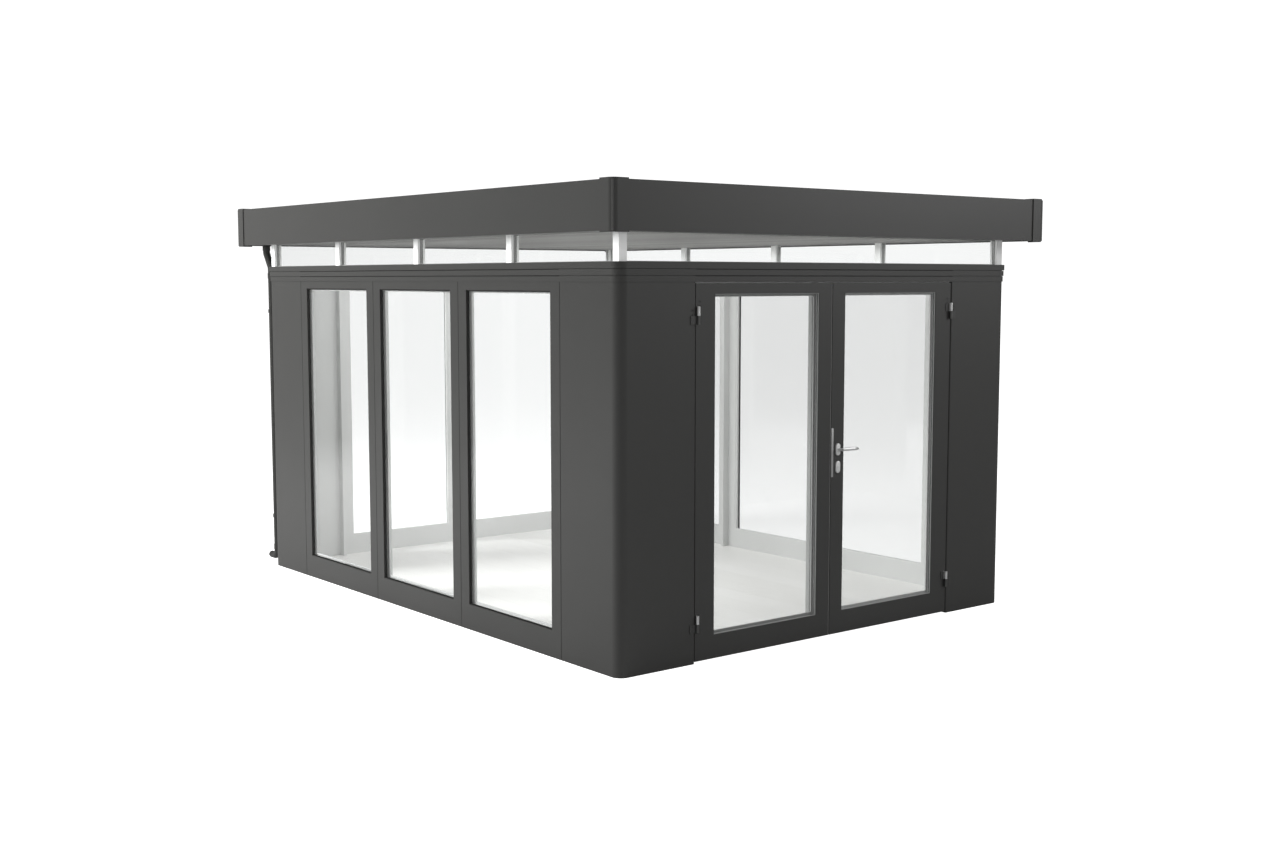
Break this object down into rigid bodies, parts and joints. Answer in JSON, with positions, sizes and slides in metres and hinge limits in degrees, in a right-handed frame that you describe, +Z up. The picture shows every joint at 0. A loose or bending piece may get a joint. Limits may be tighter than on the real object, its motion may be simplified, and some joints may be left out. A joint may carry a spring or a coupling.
{
  "type": "glass garden room",
  "caption": "Glazed metal garden room with a hinged double door, full-height windows, a clerestory strip under a flat overhanging roof, and a downpipe.",
  "frame": {"origin": "centre of the building's footprint on the ground", "axes": "+Z up; -Y out of the double-door front; -X out of the left side seen from the front; Y along the long window sides"},
  "size_m": [3.312, 4.312, 2.5],
  "materials": {
    "outside_paint": "satin anthracite powder coat",
    "inside_lining": "satin light grey",
    "clerestory_posts": "satin pale grey",
    "ceiling": "matt grey, finely ribbed",
    "roof_deck": "matt grey sheet",
    "floor": "pale boards",
    "glass": "clear",
    "stainless_steel": "brushed",
    "downpipe": "satin near-black"
  },
  "bodies": {
    "building": {"floor": "floor", "corner_panel_front_left": "outside_paint", "corner_panel_front_right": "outside_paint", "corner_panel_rear_left": "outside_paint", "corner_panel_rear_right": "outside_paint", "window_frame_left_1": "outside_paint", "window_frame_left_2": "outside_paint", "window_frame_left_3": "outside_paint", "window_frame_right_1": "outside_paint", "window_frame_right_2": "outside_paint", "window_frame_right_3": "outside_paint", "window_frame_rear_1": "outside_paint", "window_frame_rear_2": "outside_paint", "window_glass_left": "glass", "window_glass_right": "glass", "window_glass_rear": "glass", "wall_fins_left": "inside_lining", "wall_fins_right": "inside_lining", "wall_fins_rear": "inside_lining", "door_frame": "inside_lining", "hinge_frame_parts": "stainless_steel", "header_front": "outside_paint", "header_rear": "outside_paint", "header_left": "outside_paint", "header_right": "outside_paint", "header_corners": "outside_paint", "clerestory_posts_left": "clerestory_posts", "clerestory_posts_right": "clerestory_posts", "clerestory_glass_front": "glass", "clerestory_glass_rear": "glass", "clerestory_glass_left": "glass", "clerestory_glass_right": "glass", "ceiling": "ceiling", "roof_deck": "roof_deck", "fascia_front": "outside_paint", "fascia_rear": "outside_paint", "fascia_left": "outside_paint", "fascia_right": "outside_paint", "fascia_corner_caps": "outside_paint", "downpipe": "downpipe", "downpipe_clips": "downpipe"},
    "left_door": {"door_leaf_left": "outside_paint", "door_glass_left": "glass", "hinge_leaf_parts_left": "stainless_steel"},
    "right_door": {"door_leaf_right": "outside_paint", "door_glass_right": "glass", "hinge_leaf_parts_right": "stainless_steel", "handle_plates": "stainless_steel"},
    "lever": {"door_lever": "stainless_steel"}
  },
  "joints": [
    {"name": "left_door_hinge", "type": "hinge", "parent": "building", "child": "left_door", "pos_m": [-0.986, -2.008, 0.212], "axis": [0, 0, -1], "range_deg": [0, 110]},
    {"name": "right_door_hinge", "type": "hinge", "parent": "building", "child": "right_door", "pos_m": [0.986, -2.008, 0.212], "axis": [0, 0, 1], "range_deg": [0, 110]},
    {"name": "lever_turn", "type": "hinge", "parent": "right_door", "child": "lever", "pos_m": [0.054, -1.976, 1.063], "axis": [0, 1, 0], "range_deg": [0, 45], "stiffness_Nm_per_rad": 1.2, "springref_deg": -51.57}
  ]
}
